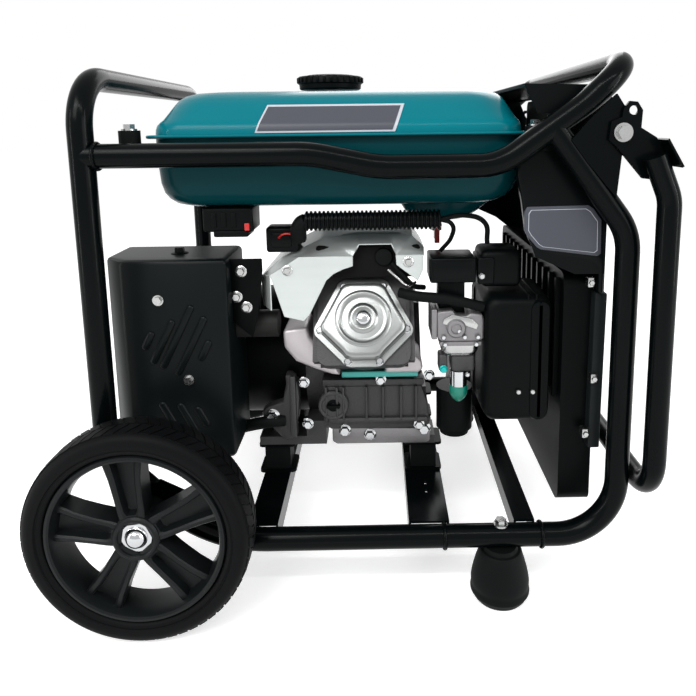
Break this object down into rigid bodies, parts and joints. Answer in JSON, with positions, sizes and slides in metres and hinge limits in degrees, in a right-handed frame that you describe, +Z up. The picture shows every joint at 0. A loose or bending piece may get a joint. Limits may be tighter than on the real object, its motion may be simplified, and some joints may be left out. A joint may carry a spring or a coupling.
{
  "type": "portable generator",
  "caption": "Open-frame portable inverter generator on two wheels and two rubber feet, with a fold-out handle, a fuel tank on top and a control panel at one end.",
  "frame": {"origin": "on the ground, under the middle of the machine's box", "axes": "+X from the silencer and wheels towards the control panel, +Y from the cylinder head's side towards the back, +Z up"},
  "size_m": [0.744, 0.618, 0.671],
  "materials": {
    "frame_black": "gloss black powder coat",
    "plate_black": "satin black",
    "rubber_black": "matte",
    "bolt_steel": "zinc plated",
    "cap_chrome": "polished",
    "wheel_grey": "satin charcoal",
    "tyre_black": "matte",
    "tank_teal": "gloss teal",
    "tank_deep_teal": "gloss deep teal",
    "plastic_black": "fine grain",
    "shroud_black": "semi-gloss",
    "panel_grey": "satin dark grey",
    "lever_red": "gloss",
    "button_green": "gloss",
    "engine_cast": "sand-cast grey",
    "shroud_cast": "light cast",
    "cover_satin": "satin",
    "shield_bright": "polished sheet",
    "solenoid_steel": "plated",
    "starter_black": "satin",
    "iron_dark": "laminated iron",
    "muffler_steel": "heat-proof grey",
    "guard_black": "satin black",
    "inverter_alloy": "dark ribbed casting"
  },
  "bodies": {
    "frame": {"rear_hoop": "frame_black", "top_rail": "frame_black", "front_loops": "frame_black", "cross_members": "frame_black", "tank_tabs": "frame_black", "pivot_brackets": "frame_black", "axle_brackets": "frame_black", "rubber_feet": "rubber_black", "flange_bolts": "bolt_steel", "hub_caps": "cap_chrome", "tank_upper": "tank_teal", "tank_lower": "tank_deep_teal", "tank_bushes": "rubber_black", "fuel_tap": "bolt_steel", "engine_mounts": "rubber_black", "mount_plates": "plate_black", "crankcase": "engine_cast", "cylinder_barrel": "engine_cast", "cylinder_shroud": "shroud_cast", "cylinder_head": "engine_cast", "valve_cover": "cover_satin", "heat_shield": "shield_bright", "spark_plug": "bolt_steel", "plug_boot": "plastic_black", "starter_motor": "starter_black", "alternator_housing": "starter_black", "stator": "iron_dark", "recoil_cover": "starter_black", "carburettor": "shroud_cast", "fuel_solenoid": "solenoid_steel", "throttle_motor": "plastic_black", "air_filter_base": "plastic_black", "air_filter_cover": "plastic_black", "breather_hose": "rubber_black", "muffler": "muffler_steel", "muffler_guard": "guard_black", "relay_box": "plastic_black", "conduit": "plastic_black", "canister": "plastic_black", "battery": "plastic_black", "inverter_module": "inverter_alloy", "control_shroud": "shroud_black", "control_panel": "panel_grey"},
    "wheel_near": {"rim_near": "wheel_grey", "tyre_near": "tyre_black"},
    "wheel_far": {"rim_far": "wheel_grey", "tyre_far": "tyre_black"},
    "handle": {"transport_handle": "frame_black", "handle_plates": "frame_black"},
    "fuel_cap": {"fuel_cap": "plastic_black"},
    "fuel_tap_lever": {"fuel_tap_lever": "lever_red"},
    "dipstick": {"dipstick": "plastic_black"},
    "crank": {"crankshaft": "bolt_steel", "rotor": "iron_dark"},
    "recoil_grip": {"recoil_grip": "rubber_black"},
    "socket_lid": {"socket_lid": "plastic_black"},
    "round_lid": {"round_lid": "plastic_black"},
    "start_button": {"start_button": "button_green"},
    "switch_knob": {"switch_knob": "plastic_black"},
    "breaker_rocker": {"breaker_rocker": "plastic_black"}
  },
  "joints": [
    {"name": "wheel_near_spin", "type": "hinge", "parent": "frame", "child": "wheel_near", "pos_m": [-0.241, -0.282, 0.131], "axis": [0, 1, 0], "continuous": true},
    {"name": "wheel_far_spin", "type": "hinge", "parent": "frame", "child": "wheel_far", "pos_m": [-0.241, 0.282, 0.131], "axis": [0, 1, 0], "continuous": true},
    {"name": "handle_fold", "type": "hinge", "parent": "frame", "child": "handle", "pos_m": [0.308, 0, 0.578], "axis": [0, -1, 0], "range_deg": [0, 100]},
    {"name": "fuel_cap_turn", "type": "hinge", "parent": "frame", "child": "fuel_cap", "pos_m": [-0.03, 0, 0.64], "axis": [0, 0, 1], "range_deg": [0, 90]},
    {"name": "fuel_tap_turn", "type": "hinge", "parent": "frame", "child": "fuel_tap_lever", "pos_m": [0.12, -0.0743, 0.45], "axis": [0, -1, 0], "range_deg": [0, 90]},
    {"name": "dipstick_turn", "type": "hinge", "parent": "frame", "child": "dipstick", "pos_m": [-0.028, -0.1163, 0.205], "axis": [0, -1, 0], "range_deg": [0, 360]},
    {"name": "crank_spin", "type": "hinge", "parent": "frame", "child": "crank", "pos_m": [0.01, 0.01, 0.245], "axis": [1, 0, 0], "continuous": true},
    {"name": "recoil_pull", "type": "slide", "parent": "frame", "child": "recoil_grip", "axis": [-1, 0, 0], "range_m": [0, 0.5], "stiffness_N_per_m": 15},
    {"name": "socket_lid_lift", "type": "hinge", "parent": "frame", "child": "socket_lid", "pos_m": [0.3223, 0.096, 0.37], "axis": [0, -1, 0], "range_deg": [0, 110]},
    {"name": "round_lid_lift", "type": "hinge", "parent": "frame", "child": "round_lid", "pos_m": [0.3243, -0.096, 0.375], "axis": [0, -1, 0], "range_deg": [0, 110]},
    {"name": "start_press", "type": "slide", "parent": "frame", "child": "start_button", "axis": [-1, 0, 0], "range_m": [0, 0.003], "stiffness_N_per_m": 400},
    {"name": "switch_turn", "type": "hinge", "parent": "frame", "child": "switch_knob", "pos_m": [0.308, -0.12, 0.5], "axis": [1, 0, 0], "range_deg": [0, 90]},
    {"name": "breaker_rock", "type": "hinge", "parent": "frame", "child": "breaker_rocker", "pos_m": [0.315, 0, 0.46], "axis": [0, 1, 0], "range_deg": [-8, 8]}
  ]
}
